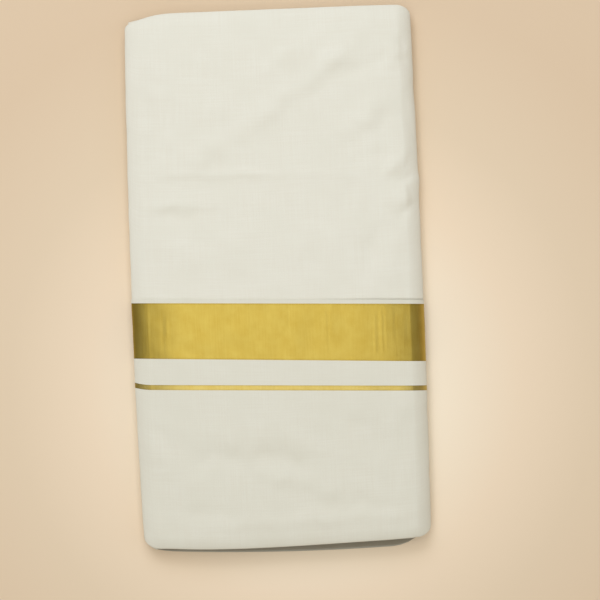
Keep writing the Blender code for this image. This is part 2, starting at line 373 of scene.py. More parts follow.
def relief(columns, y):
    """How far the cloth stands out of the packet's form, in metres."""
    across = columns["arc"] * barrel(across_place(columns, 0.0), y)
    swell = ripple_height(across, y) * columns["front"]
    return (crease_height(across, y) + swell) * ~np.isin(
        columns["part"], ("upper_tuck", "lower_tuck")
    )


def cover_row(columns, edge, depth, lift=None, creased=1.0):
    """One row of points round the packet. edge(x, front) is its y, and depth its depth."""
    x = across_place(columns, 0.0)
    y = edge(x, columns["front"])
    depth = depth - creased * relief(columns, y)
    if lift is not None:
        depth = depth - lift(x, y) * columns["front"]
    z = height_place(columns, depth, x, y)
    return np.stack([across_place(columns, depth) * barrel(x, y), y, z], axis=1)


def cloth_object(name, rows, columns, wall, material):
    """A sheet through rows of points, with a wall under it and its own UV map in metres."""
    points = np.array(rows)
    count, wide = points.shape[:2]
    steps = np.linalg.norm(np.diff(points, axis=0), axis=2)
    along = np.concatenate([np.zeros((1, wide)), np.cumsum(steps, axis=0)])
    share = along / along[-1]
    index = np.arange(count * wide).reshape(count, wide)
    faces = np.stack([index[:-1, :-1], index[:-1, 1:], index[1:, 1:], index[1:, :-1]], axis=-1)
    mesh = bpy.data.meshes.new(name)
    mesh.from_pydata(points.reshape(-1, 3).tolist(), [], faces.reshape(-1, 4).tolist())
    corners = np.array([corner.vertex_index for corner in mesh.loops])
    across = np.tile(columns["arc"], (count, 1))
    for layer, second in (("cloth", along + points[0, 0, 1]), ("stripe", share)):
        places = np.stack([across, second], axis=-1).reshape(-1, 2)[corners]
        mesh.uv_layers.new(name=layer).data.foreach_set("uv", places.ravel())
    mesh.materials.append(material)
    sheet = bpy.data.objects.new(name, mesh)
    bpy.context.scene.collection.objects.link(sheet)
    solidify = sheet.modifiers.new("wall", "SOLIDIFY")
    solidify.thickness = wall
    solidify.offset = -1
    graph = bpy.context.evaluated_depsgraph_get()
    walled = bpy.data.meshes.new_from_object(sheet.evaluated_get(graph))
    sheet.modifiers.remove(solidify)
    sheet.data = walled
    walled.shade_smooth()
    walled.set_sharp_from_angle(angle=SHARP_ANGLE)
    return sheet


def selvedge_line():
    """The selvedge's y at the middle of the packet."""
    node_low, node_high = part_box("flap_selvedge")
    return node_high.y + BORDER_SLOPE * node_low.x


SELVEDGE_Y = selvedge_line()

# The band's edges aren't quite straight with the selvedge: it widens towards the spine.
EDGES_FROM_SELVEDGE = (0, 3.1 * MM, 47 * MM, 67 * MM)
EDGES_LOWER = (0.5 * MM, 0.45 * MM, 0.35 * MM, 0)
EDGES_LOWER_AT_SPINE = (0, 0, 0.75 * MM, 0)
# The thin line turns up a little at the nose.
LINE_RISE, LINE_RISE_REACH = 1.7 * MM, 13 * MM
LINE_BELOW, LINE_RISE_HALF = 69 * MM, 9 * MM


def below_selvedge(distance):
    """The edge that runs this far below the selvedge."""
    lower = np.interp(distance, EDGES_FROM_SELVEDGE, EDGES_LOWER)
    more = np.interp(distance, EDGES_FROM_SELVEDGE, EDGES_LOWER_AT_SPINE) / HALF_WIDTH
    near_line = LINE_RISE * math.exp(-(((distance - LINE_BELOW) / LINE_RISE_HALF) ** 2))

    def edge(x, front):
        rise = near_line * np.clip(1 - (HALF_WIDTH + x) / LINE_RISE_REACH, 0, 1) ** 2 * front
        return SELVEDGE_Y - x * BORDER_SLOPE - distance - lower - x * more + rise

    return edge


def head(inset):
    return lambda x, front: head_edge(x) - inset


def foot(inset):
    return lambda x, front: foot_edge(x, front) + inset


def between(start, end, share):
    return lambda x, front: start(x, front) * (1 - share) + end(x, front) * share


def shares(distance, step):
    """Even shares along a distance, a step apart or a little less."""
    count = max(1, math.ceil(distance / step))
    return np.linspace(0, 1, count + 1)


def linear(hex_colour):
    """An sRGB hex colour as the linear values that a socket takes."""
    values = [int(hex_colour[i : i + 2], 16) / 255 for i in (1, 3, 5)]
    return [v / 12.92 if v <= 0.04045 else ((v + 0.055) / 1.055) ** 2.4 for v in values] + [1.0]


def add(tree, kind, inputs=None, **settings):
    """Adds a node. A value in inputs is set on its socket, and a socket is linked to it."""
    made = tree.nodes.new(kind)
    for name, value in settings.items():
        setattr(made, name, value)
    for name, value in (inputs or {}).items():
        if isinstance(value, bpy.types.NodeSocket):
            tree.links.new(value, made.inputs[name])
        else:
            made.inputs[name].default_value = value
    return made


def new_material(name):
    material = bpy.data.materials.new(name)
    material.use_nodes = True
    material.node_tree.nodes.clear()
    return material, material.node_tree


# Bleached handloom cotton, about 27 threads a cm each way. Matt, a little fuzzy at grazing
# angles, with slubs: threads that are thicker for a few cm and show as faint streaks.
# ground, slubs, shade
COTTON_COLOURS = ("#E8E6D9", "#E5E2D4", "#E5E3D5")
THREAD = 0.37 * MM
SLUB_LONG, SLUB_WIDE = 38 * MM, 1.1 * MM

# Painted shade: the lowest folds at the foot are darkened in colour, where the packet's upper folds
# shade them.
FOOT_SHADE_COLOUR = "#6B6350"
FOOT_SHADE_REACH, FOOT_SHADE_FREE_REACH = 6 * MM, 12 * MM
COVER_SHADE_HEIGHT, COVER_SHADE_FREE_HEIGHT = 2.2 * MM, 3.6 * MM


def painted_foot_shade(tree, colour, amount, height, shade_free_height):
    """The colour, with painted shade at the foot: most up to one height, and none from another."""
    axes = add(
        tree, "ShaderNodeSeparateXYZ", {0: add(tree, "ShaderNodeTexCoord").outputs["Object"]}
    ).outputs
    low = add(
        tree,
        "ShaderNodeMapRange",
        {"Value": axes["Z"], "From Min": shade_free_height, "From Max": height, "To Max": amount},
    )
    near = add(
        tree,
        "ShaderNodeMapRange",
        {
            "Value": axes["Y"],
            "From Min": FOOT_SHADE_FREE_REACH - HALF_LENGTH,
            "From Max": FOOT_SHADE_REACH - HALF_LENGTH,
        },
    )
    share = add(tree, "ShaderNodeMath", {0: low.outputs[0], 1: near.outputs[0]}, operation="MULTIPLY")
    return add(
        tree,
        "ShaderNodeMix",
        {0: share.outputs[0], 6: colour, 7: linear(FOOT_SHADE_COLOUR)},
        data_type="RGBA",
    ).outputs[2]


def cotton_material(name, colours, foot_shade=0.0):
    """Woven cotton. Its last argument is how much painted shade darkens its colour at the foot."""
    colour, slub_colour, shade_colour = colours
    material, tree = new_material(name)
    place = add(tree, "ShaderNodeUVMap", uv_map="cloth").outputs["UV"]
    threads = add(
        tree, "ShaderNodeVectorMath", {0: place, 1: (2 * math.pi / THREAD,) * 3}, operation="MULTIPLY"
    )
    axes = add(tree, "ShaderNodeSeparateXYZ", {0: threads.outputs[0]})
    warp = add(tree, "ShaderNodeMath", {0: axes.outputs["X"]}, operation="SINE")
    weft = add(tree, "ShaderNodeMath", {0: axes.outputs["Y"]}, operation="SINE")
    weave = add(
        tree, "ShaderNodeMath", {0: warp.outputs[0], 1: weft.outputs[0]}, operation="MULTIPLY"
    )
    streaks = []
    for scale in ((1 / SLUB_LONG, 1 / SLUB_WIDE, 1), (1 / SLUB_WIDE, 1 / SLUB_LONG, 1)):
        stretched = add(tree, "ShaderNodeMapping", {"Vector": place, "Scale": scale})
        streak = add(
            tree,
            "ShaderNodeTexNoise",
            {"Vector": stretched.outputs[0], "Scale": 1.0, "Detail": 2.0, "Roughness": 0.5},
        )
        streaks.append(streak.outputs["Fac"])
    slubs = add(tree, "ShaderNodeMath", {0: streaks[0], 1: streaks[1]}, operation="ADD")
    slub_share = add(
        tree, "ShaderNodeMapRange", {"Value": slubs.outputs[0], "From Min": 0.85, "From Max": 1.25}
    )
    clouds = add(
        tree, "ShaderNodeTexNoise", {"Vector": place, "Scale": 34.0, "Detail": 3.0, "Roughness": 0.55}
    )
    cloud_share = add(
        tree, "ShaderNodeMapRange", {"Value": clouds.outputs["Fac"], "From Min": 0.35, "From Max": 0.7}
    )
    ground = add(
        tree,
        "ShaderNodeMix",
        {0: cloud_share.outputs[0], 6: linear(colour), 7: linear(shade_colour)},
        data_type="RGBA",
    )
    thread_colour = add(
        tree,
        "ShaderNodeMix",
        {0: slub_share.outputs[0], 6: ground.outputs[2], 7: linear(slub_colour)},
        data_type="RGBA",
    )
    fine = add(
        tree, "ShaderNodeBump", {"Height": weave.outputs[0], "Strength": 0.12, "Distance": 0.1 * MM}
    )
    slubbed = add(
        tree,
        "ShaderNodeBump",
        {"Height": slubs.outputs[0], "Normal": fine.outputs[0], "Strength": 0.38, "Distance": 0.12 * MM},
    )
    shader = add(
        tree,
        "ShaderNodeBsdfPrincipled",
        {
            "Base Color": painted_foot_shade(
                tree, thread_colour.outputs[2], foot_shade, COVER_SHADE_HEIGHT, COVER_SHADE_FREE_HEIGHT
            ),
            "Roughness": 0.88,
            "Specular IOR Level": 0.25,
            "Sheen Weight": 0.12,
            "Sheen Roughness": 0.5,
            "Normal": slubbed.outputs[0],
        },
    )
    add(tree, "ShaderNodeOutputMaterial", {"Surface": shader.outputs[0]})
    return material


cotton = cotton_material("bleached_handloom_cotton", COTTON_COLOURS)
columns = make_columns(COLUMN)


def body_depth(front):
    """Above the flap the body ply lies just lower than the flap does, and at the surface below."""
    return front * FRONT_STEP


def crevice(x, y):
    """The body ply dips where the flap's selvedge presses on it, deeper towards the spine."""
    above = y - below_selvedge(0.0)(x, 0.0) + CREVICE_ABOVE
    towards_spine = share_between(x, CREVICE_FROM, CREVICE_TO)
    dip = CREVICE_LEFT + (CREVICE_RIGHT - CREVICE_LEFT) * towards_spine
    return -dip * np.exp(-((above / CREVICE_WIDTH) ** 2))


def body_rows():
    """The body ply from the foot, under the flap, out at the selvedge and in at the head."""
    rows = []
    for share in np.linspace(0, HIDDEN_TO, HIDDEN_ROWS):
        edge = between(foot(BODY_SHORT), below_selvedge(0.0), share)
        rows.append(cover_row(columns, edge, UNDER_FLAP, None, 0.0))
    rows.append(cover_row(columns, below_selvedge(UNDER_FLAP_TO), UNDER_FLAP, crevice))
    rows.append(cover_row(columns, below_selvedge(TUCKED_TO), TUCKED, crevice))
    depth = body_depth(columns["front"])
    for step in np.arange(1, 5) / 4:
        sunk = TUCKED + (depth - TUCKED) * share_between(step, 0, 1)
        rows.append(cover_row(columns, below_selvedge(-STEP_REACH * step), sunk, crevice))
    start, end = below_selvedge(-STEP_REACH), head(HEAD_FOLD)
    for share in shares(HALF_LENGTH - SELVEDGE_Y, ROW)[1:]:
        rows.append(cover_row(columns, between(start, end, share), depth, crevice))
    for turn in np.radians(FOLD_TURNS):
        inset = HEAD_FOLD * (1 - math.sin(turn))
        rows.append(cover_row(columns, head(inset), depth + HEAD_FOLD * (1 - math.cos(turn))))
    for inset in (3 * MM, 8 * MM, HEAD_RETURN):
        rows.append(cover_row(columns, head(inset), depth + 2 * HEAD_FOLD))
    return rows


body_ply = cloth_object("body_ply_cloth", body_rows(), columns, PLY, cotton)
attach(body_ply, "root")
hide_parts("body_ply")

# ---------------------------------------------------------------- the flap's woven stripes
# The border end of the dhoti, folded over the front. The weaver puts zari in the warp for the
# wide band and the thin line, and plain cotton for the selvedge strip and the stripe between.

STRIPE_ROW = 1.2 * MM
FLAP_LIFT, FLAP_LIFT_REACH = 0.55 * MM, 4 * MM
FLAP_LIFT_FROM, FLAP_LIFT_TO = 20 * MM, 108 * MM

# Small upright ribs where the stiff zari buckled, in mm on the band.
# columns: across, along at the top and at the bottom, width, rise
ZARI_RIBS = (
    (-90.2, -22, -60, 1.6, -0.10),
    (-87.0, -26, -42, 1.5, 0.10),
    (-84.2, -30, -56, 1.8, -0.07),
    (-62.0, -36, -48, 1.2, -0.05),
    (-31.0, -24, -52, 2.2, 0.05),
    (8.0, -22, -40, 1.6, -0.05),
    (38.4, -20, -62, 1.0, -0.08),
    (74.6, -30, -62, 0.9, 0.09),
    (77.2, -28, -62, 0.9, -0.06),
    (79.9, -26, -62, 0.9, 0.10),
    (83.4, -24, -62, 1.1, 0.06),
    (90.6, -24, -56, 1.4, -0.06),
    (97.0, -22, -58, 2.0, 0.06),
)


def flap_lift(x, y):
    """The selvedge lifts a little off the body ply towards the spine."""
    under = SELVEDGE_Y - x * BORDER_SLOPE - y
    return (
        FLAP_LIFT
        * share_between(x, FLAP_LIFT_FROM, FLAP_LIFT_TO)
        * np.exp(-((np.clip(under, 0, None) / FLAP_LIFT_REACH) ** 2))
    )


def zari_lift(x, y):
    """The flap's lift, with the band's ribs on it."""
    total = flap_lift(x, y)
    for across, top, bottom, width, rise in ZARI_RIBS:
        inside = np.sin(np.pi * np.clip((top - y / MM) / (top - bottom), 0, 1)) ** 0.5
        total = total + rise * MM * inside * np.exp(-(((x / MM - across) / width) ** 2))
    return total


def stripe_edges(names):
    """How far below the selvedge each stripe starts and ends, from the CAD nodes' boxes."""
    edges = []
    for name in names:
        node_low, node_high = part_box(name)
        top = SELVEDGE_Y - (node_high.y + BORDER_SLOPE * node_low.x)
        bottom = SELVEDGE_Y - (node_low.y + BORDER_SLOPE * node_high.x)
        edges.append([top, bottom])
    for upper, lower in zip(edges, edges[1:]):
        upper[1] = lower[0] = (upper[1] + lower[0]) / 2
    return edges


# Zari: cotton yarn wound with gilt flat wire, packed so close in the warp that only metal
# shows. It gleams along the threads and turns dark where the cloth bends down at the sides.
ZARI_COLOUR = "#BDA651"
ZARI_DEEP_COLOUR = "#B59B44"
ZARI_EDGE_COLOUR = "#7A6420"
LINE_COLOUR = "#C7B36A"
LINE_DEEP_COLOUR = "#BFA759"
# Painted shade where the band bends down over the nose: mm across, share of the dark colour
NOSE_BEND_SHADE = (
    (-113, 0.0),
    (-109, 0.0),
    (-105, 0.14),
    (-102, 0.44),
    (-101, 0.2),
    (-94, 0.24),
    (-85, 0.08),
    (-76, 0.0),
)
ZARI_PICK = 0.62 * MM
ZARI_THREAD = 0.30 * MM


def zari_material(name, colour, deep_colour, edge_share, edge_depth):
    """edge_share is the part of the stripe, at each edge, that darkens, by up to edge_depth."""
    material, tree = new_material(name)
    place = add(tree, "ShaderNodeUVMap", uv_map="cloth").outputs["UV"]
    scale = (2 * math.pi / ZARI_PICK, 2 * math.pi / ZARI_THREAD, 0)
    threads = add(tree, "ShaderNodeVectorMath", {0: place, 1: scale}, operation="MULTIPLY")
    axes = add(tree, "ShaderNodeSeparateXYZ", {0: threads.outputs[0]})
    picks = add(tree, "ShaderNodeMath", {0: axes.outputs["X"]}, operation="SINE")
    wires = add(tree, "ShaderNodeMath", {0: axes.outputs["Y"]}, operation="SINE")
    weave = add(tree, "ShaderNodeMath", {0: picks.outputs[0], 1: wires.outputs[0]}, operation="ADD")
    stretched = add(tree, "ShaderNodeMapping", {"Vector": place, "Scale": (900, 45, 1)})
    streaks = add(
        tree,
        "ShaderNodeTexNoise",
        {"Vector": stretched.outputs[0], "Scale": 1.0, "Detail": 2.0, "Roughness": 0.5},
    )
    patches = add(
        tree, "ShaderNodeTexNoise", {"Vector": place, "Scale": 85.0, "Detail": 3.0, "Roughness": 0.6}
    )
    tone = 0.0
    for noise, weight in ((patches, 0.6), (streaks, 0.4)):
        weighed = {0: noise.outputs["Fac"], 1: weight, 2: tone}
        tone = add(tree, "ShaderNodeMath", weighed, operation="MULTIPLY_ADD").outputs[0]
    tone_share = add(
        tree, "ShaderNodeMapRange", {"Value": tone, "From Min": 0.38, "From Max": 0.68}
    )
    metal = add(
        tree,
        "ShaderNodeMix",
        {0: tone_share.outputs[0], 6: linear(colour), 7: linear(deep_colour)},
        data_type="RGBA",
    )
    stripe = add(tree, "ShaderNodeUVMap", uv_map="stripe").outputs["UV"]
    share = add(tree, "ShaderNodeSeparateXYZ", {0: stripe}).outputs["Y"]
    from_middle = add(tree, "ShaderNodeMath", {0: share, 1: 0.5}, operation="SUBTRACT")
    off_middle = add(tree, "ShaderNodeMath", {0: from_middle.outputs[0]}, operation="ABSOLUTE")
    edge = add(
        tree,
        "ShaderNodeMapRange",
        {
            "Value": off_middle.outputs[0],
            "From Min": 0.5 - edge_share,
            "From Max": 0.5,
            "To Max": edge_depth,
        },
        interpolation_type="SMOOTHSTEP",
    )
    edged = add(
        tree,
        "ShaderNodeMix",
        {0: edge.outputs[0], 6: metal.outputs[2], 7: linear(ZARI_EDGE_COLOUR)},
        data_type="RGBA",
    )
    # Painted shade: the band is darkened towards the nose, where it bends down.
    across = add(tree, "ShaderNodeSeparateXYZ", {0: place}).outputs["X"]
    span = add(
        tree,
        "ShaderNodeMapRange",
        {"Value": across, "From Min": NOSE_BEND_SHADE[0][0] * MM, "From Max": NOSE_BEND_SHADE[-1][0] * MM},
    )
    nose_shade_ramp = add(tree, "ShaderNodeValToRGB", {"Fac": span.outputs[0]})
    while len(nose_shade_ramp.color_ramp.elements) < len(NOSE_BEND_SHADE):
        nose_shade_ramp.color_ramp.elements.new(0.5)
    for stop, (at, dark) in zip(nose_shade_ramp.color_ramp.elements, NOSE_BEND_SHADE):
        stop.position = (at - NOSE_BEND_SHADE[0][0]) / (NOSE_BEND_SHADE[-1][0] - NOSE_BEND_SHADE[0][0])
        stop.color = (dark, dark, dark, 1)
    nose_shaded = add(
        tree,
        "ShaderNodeMix",
        {0: nose_shade_ramp.outputs[0], 6: edged.outputs[2], 7: linear(ZARI_EDGE_COLOUR)},
        data_type="RGBA",
    )
    fine = add(
        tree, "ShaderNodeBump", {"Height": weave.outputs[0], "Strength": 0.15, "Distance": 0.08 * MM}
    )
    bump = add(
        tree,
        "ShaderNodeBump",
        {
            "Height": streaks.outputs["Fac"],
            "Normal": fine.outputs[0],
            "Strength": 0.35,
            "Distance": 0.1 * MM,
        },
    )
    grain = add(tree, "ShaderNodeTangent", direction_type="UV_MAP", uv_map="cloth")
    shader = add(
        tree,
        "ShaderNodeBsdfPrincipled",
        {
            "Base Color": nose_shaded.outputs[2],
            "Metallic": 1.0,
            "Roughness": 0.46,
            "Anisotropic": 0.65,
            "Anisotropic Rotation": 0.25,
            "Tangent": grain.outputs[0],
            "Normal": bump.outputs[0],
        },
    )
    add(tree, "ShaderNodeOutputMaterial", {"Surface": shader.outputs[0]})
    return material


zari_band = zari_material("zari_band_gilt_thread", ZARI_COLOUR, ZARI_DEEP_COLOUR, 0.04, 0.3)
zari_line = zari_material("zari_line_gilt_thread", LINE_COLOUR, LINE_DEEP_COLOUR, 0.3, 0.35)
stripe_columns = make_columns(COLUMN / 2)

# The flap shows the cotton's other face, coloured a shade greyer than the body ply.
FLAP_COTTON_COLOURS = ("#E3E1D3", "#E0DDCE", "#E0DECF")
# Painted shade on the flap's fold at the foot, low by the floor.
FLAP_FOOT_SHADE = 0.55
flap_cotton = cotton_material("handloom_cotton_other_face", FLAP_COTTON_COLOURS, FLAP_FOOT_SHADE)
STRIPES = (
    # CAD node, columns, lift, material, slot
    ("flap_selvedge", columns, flap_lift, flap_cotton, "cotton"),
    ("flap_zari_band", stripe_columns, zari_lift, zari_band, "zari"),
    ("flap_plain_stripe", columns, flap_lift, flap_cotton, "cotton"),
    ("flap_zari_line", columns, flap_lift, zari_line, "zari"),
)
edges = stripe_edges([row[0] for row in STRIPES] + ["flap_foot_panel"])
for (node, stations, lift, material, slot), (top, bottom) in zip(STRIPES, edges):
    rows = [
        cover_row(stations, below_selvedge(bottom + (top - bottom) * share), 0.0, lift)
        for share in shares(bottom - top, STRIPE_ROW)
    ]
    stripe = cloth_object(node + "_cloth", rows, stations, PLY, material)
    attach(stripe, "root")
    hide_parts(node)

# ---------------------------------------------------------------- the flap's foot panel
# The plain cotton below the thin line, down to the foot. There it folds in round the body
# ply's end, which is the fold that joins the flap to the page behind it.

FOOT_FOLD = 0.72 * MM
FOOT_RETURN = 12 * MM
FOOT_START = edges[-1][0]
FOOT_REACH = HALF_LENGTH + SELVEDGE_Y - FOOT_START


def foot_rows():
    """The foot panel from its folded-in end, round the foot's fold and up to the line."""
    rows = [
        cover_row(columns, foot(inset), 2 * FOOT_FOLD)
        for inset in (FOOT_RETURN, 7 * MM, 3 * MM)
    ]
    for turn in np.radians(FOLD_TURNS[::-1]):
        inset = FOOT_FOLD * (1 - math.sin(turn))
        rows.append(cover_row(columns, foot(inset), FOOT_FOLD * (1 - math.cos(turn)), flap_lift))
    for share in shares(FOOT_REACH, ROW):
        edge = between(foot(FOOT_FOLD), below_selvedge(FOOT_START), share)
        rows.append(cover_row(columns, edge, 0.0, flap_lift))
    return rows


foot_panel = cloth_object("flap_foot_panel_cloth", foot_rows(), columns, PLY, flap_cotton)
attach(foot_panel, "root")
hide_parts("flap_foot_panel")

# ---------------------------------------------------------------- the inner pages
# The fourteen pages inside the cover, of the same cotton. Only their folds show, at the head,
# the foot and between the noses at the left, so each is one flat page with a rounded edge.
# Geometry Nodes lay the same page again and again from the lowest place up to the highest.

PAGES = 14
PAGE_THICK = 0.9 * MM
STACK_DEPTH = 2.7 * MM
PAGE_SIDE_GAP = 2.8 * MM
PAGE_BETWEEN_NOSES = 11 * MM
PAGE_HEAD_INSET = 0.9 * MM
PAGE_FOOT_INSET, LOWEST_PAGE_INSET = 5 * MM, 0.5 * MM
PAGE_FOOT_POWER = 0.3
PAGE_WANDER, PAGE_WAVE = 0.9 * MM, 0.16 * MM
PAGE_SEED, PAGE_SEED_STEP = 4.0, 5.3
PAGE_SHORT = 4 * MM
FOLD_POWER = 2 / SHOULDER_PINCH
NOSE_OVERLAP = 0.01
SIDE_POINTS = 110
# Each fold's hollow, as shares of the packet's height
FOLD_HOLLOWS = (
    # name, middle, half
    ("spine", 0.5, 0.54),
    ("upper nose", 1 - UPPER_NOSE_SHARE / 2, UPPER_NOSE_SHARE / 2 + 0.02),
    ("lower nose", LOWER_NOSE_SHARE / 2, LOWER_NOSE_SHARE / 2 + 0.04),
)
# The page's rounded fold, from its upper face round to its lower one.
# columns: inset from the edge in mm, share of the thickness
UPPER_PROFILE = ((9, 0.5), (1.6, 0.5), (0.45, 0.38), (0.1, 0.17))
PAGE_PROFILE = UPPER_PROFILE + tuple((inset, -rise) for inset, rise in UPPER_PROFILE[::-1])


def page_ring(share, inset, rise):
    """The page's outline at a share of the stack's height, drawn in by inset."""
    left = -HALF_WIDTH + UPPER_NOSE_REACH + inset
    right = HALF_WIDTH - SPINE_REACH - inset
    step = 0.5 - 0.5 * np.cos(np.pi * np.arange(SIDE_POINTS) / SIDE_POINTS)

    def low(x):
        back = LOWEST_PAGE_INSET + (PAGE_FOOT_INSET - LOWEST_PAGE_INSET) * share
        return foot_edge(x, share) + back + inset

    def high(x):
        return head_edge(x) - PAGE_HEAD_INSET - inset

    foot_x = left + (right - left) * step
    head_x = right + (left - right) * step
    ends = np.full(SIDE_POINTS, right), np.full(SIDE_POINTS, left)
    x = np.concatenate([foot_x, ends[0], head_x, ends[1]])
    y = np.concatenate([
        low(foot_x),
        low(right) + (high(right) - low(right)) * step,
        high(head_x),
        high(left) + (low(left) - high(left)) * step,
    ])
    z = STACK_DEPTH + PAGE_THICK / 2 + share * (roof(x, y) - 2 * STACK_DEPTH - PAGE_THICK)
    return np.stack([x * barrel(x, y), y, z + rise * PAGE_THICK], axis=1)


def page_mesh():
    """One closed page at its lowest place, which also knows its highest place."""
    around = 4 * SIDE_POINTS
    places = []
    for share in (0.0, 1.0):
        rings = [page_ring(share, inset * MM, rise) for inset, rise in PAGE_PROFILE]
        poles = [rings[0].mean(axis=0), rings[-1].mean(axis=0)]
        places.append(np.concatenate(rings + [np.array(poles)]))
    faces = []
    for ring in range(len(PAGE_PROFILE) - 1):
        for i in range(around):
            j = (i + 1) % around
            upper, lower = ring * around, (ring + 1) * around
            faces.append((upper + i, lower + i, lower + j, upper + j))
    last = (len(PAGE_PROFILE) - 1) * around
    top_pole = len(PAGE_PROFILE) * around
    for i in range(around):
        j = (i + 1) % around
        faces.append((top_pole, i, j))
        faces.append((top_pole + 1, last + j, last + i))
    mesh = bpy.data.meshes.new("page")
    mesh.from_pydata(places[0].tolist(), [], faces)
    highest = mesh.attributes.new("highest_place", "FLOAT_VECTOR", "POINT")
    highest.data.foreach_set("vector", places[1].ravel())
    mesh.shade_smooth()
    return mesh


# The same cotton, seen at its folds: a shade warmer, with the plies' edges as fine lines.
INNER_COLOUR = "#EAE6D8"
INNER_SLUB_COLOUR = "#E2DDCC"
INNER_SHADE_COLOUR = "#E5E1D2"
# Painted shade: the lowest pages are darkened at the foot, under the cover's overhang.
INNER_FOOT_SHADE = 0.78
INNER_SHADE_HEIGHT, INNER_SHADE_FREE_HEIGHT = 5 * MM, 14 * MM


def inner_material():
    material, tree = new_material("folded_cotton_edges")
    place = add(tree, "ShaderNodeTexCoord").outputs["Object"]
    stretched = add(tree, "ShaderNodeMapping", {"Vector": place, "Scale": (60, 60, 2600)})
    plies = add(
        tree, "ShaderNodeTexNoise", {"Vector": stretched.outputs[0], "Scale": 1.0, "Detail": 3.0}
    )
    clouds = add(tree, "ShaderNodeTexNoise", {"Vector": place, "Scale": 60.0, "Detail": 3.0})
    ground = add(
        tree,
        "ShaderNodeMix",
        {0: clouds.outputs["Fac"], 6: linear(INNER_COLOUR), 7: linear(INNER_SHADE_COLOUR)},
        data_type="RGBA",
    )
    ply_share = add(
        tree, "ShaderNodeMapRange", {"Value": plies.outputs["Fac"], "From Min": 0.45, "From Max": 0.7}
    )
    colour = add(
        tree,
        "ShaderNodeMix",
        {0: ply_share.outputs[0], 6: ground.outputs[2], 7: linear(INNER_SLUB_COLOUR)},
        data_type="RGBA",
    )
    bump = add(
        tree, "ShaderNodeBump", {"Height": plies.outputs["Fac"], "Strength": 0.6, "Distance": 0.2 * MM}
    )
    shader = add(
        tree,
        "ShaderNodeBsdfPrincipled",
        {
            "Base Color": painted_foot_shade(
                tree, colour.outputs[2], INNER_FOOT_SHADE, INNER_SHADE_HEIGHT, INNER_SHADE_FREE_HEIGHT
            ),
            "Roughness": 0.9,
            "Specular IOR Level": 0.25,
            "Sheen Weight": 0.12,
            "Normal": bump.outputs[0],
        },
    )
    add(tree, "ShaderNodeOutputMaterial", {"Surface": shader.outputs[0]})
    return material


PAGE_INPUTS = (
    # name, value
    ("Pages", PAGES),
    ("Side From", 0.6 * HALF_WIDTH),
    ("Spine To", HALF_WIDTH - SPINE_REACH - PAGE_SHORT),
    ("Spine Reach", SPINE_REACH - PAGE_SIDE_GAP),
    ("Nose To", HALF_WIDTH - UPPER_NOSE_REACH - PAGE_SHORT),
    ("Nose Reach", UPPER_NOSE_REACH - PAGE_SIDE_GAP),
    ("Nose Gap Reach", PAGE_BETWEEN_NOSES),
    ("Foot Power", PAGE_FOOT_POWER),
    ("Wander", PAGE_WANDER),
    ("Wave", PAGE_WAVE),
    ("Seed", PAGE_SEED),
)
# The sums below have a result, an operation and its inputs. An input is a number, or the name
# of a group input or of an earlier result.
PAGE_SHARE_SUMS = (
    ("last", "SUBTRACT", "Pages", 1.0),
    ("share", "DIVIDE", "page", "last"),
    # Only the lowest pages reach out at the foot: the others lie well back from it.
    ("back share", "POWER", "share", "Foot Power"),
    ("seed", "MULTIPLY", "page", PAGE_SEED_STEP),
    ("seed", "ADD", "seed", "Seed"),
)
# Towards a side each page reaches as far as the round of its fold lets it.
HOLLOW_SUMS = (
    # operation, inputs: None is the result so far
    ("SUBTRACT", "share", "middle"),
    ("DIVIDE", None, "half"),
    ("ABSOLUTE", None),
    ("POWER", None, FOLD_POWER),
    ("SUBTRACT", 1.0, None),
    ("MAXIMUM", None, 0.0),
    ("POWER", None, 1 / FOLD_POWER),
)
PAGE_PLACE_SUMS = (
    ("spine", "MULTIPLY", "spine", "Spine Reach"),
    ("spine", "MULTIPLY", "spine", "towards spine"),
    # At the left the upper pages lie in the upper nose and the lower ones in the lower nose, and
    # those between come out to the edge.
    ("upper nose", "MULTIPLY", "upper nose", "Nose Reach"),
    ("lower nose", "MULTIPLY", "lower nose", "Nose Reach"),
    ("below upper", "LESS_THAN", "share", 1 - UPPER_NOSE_SHARE + NOSE_OVERLAP),
    ("above lower", "GREATER_THAN", "share", LOWER_NOSE_SHARE - NOSE_OVERLAP),
    ("gap", "MULTIPLY", "below upper", "above lower"),
    ("gap", "MULTIPLY", "gap", "Nose Gap Reach"),
    ("nose", "MAXIMUM", "upper nose", "lower nose"),
    ("nose", "MAXIMUM", "nose", "gap"),
    ("nose", "MULTIPLY", "nose", "towards nose"),
    # Each page's folds wander in and out, and rise and fall a little.
    ("inward", "MULTIPLY", "drift", "Wander"),
    ("inward", "DIVIDE", "inward", 0.5 * HALF_LENGTH),
    ("kept", "SUBTRACT", 1.0, "inward"),
    ("wave", "SUBTRACT", "drift", 0.5),
    ("wave", "MULTIPLY", "wave", "Wave"),
    ("X", "ADD", "X", "spine"),
    ("X", "SUBTRACT", "X", "nose"),
    ("Y", "MULTIPLY", "back Y", "kept"),
    ("Z", "ADD", "Z", "wave"),
)


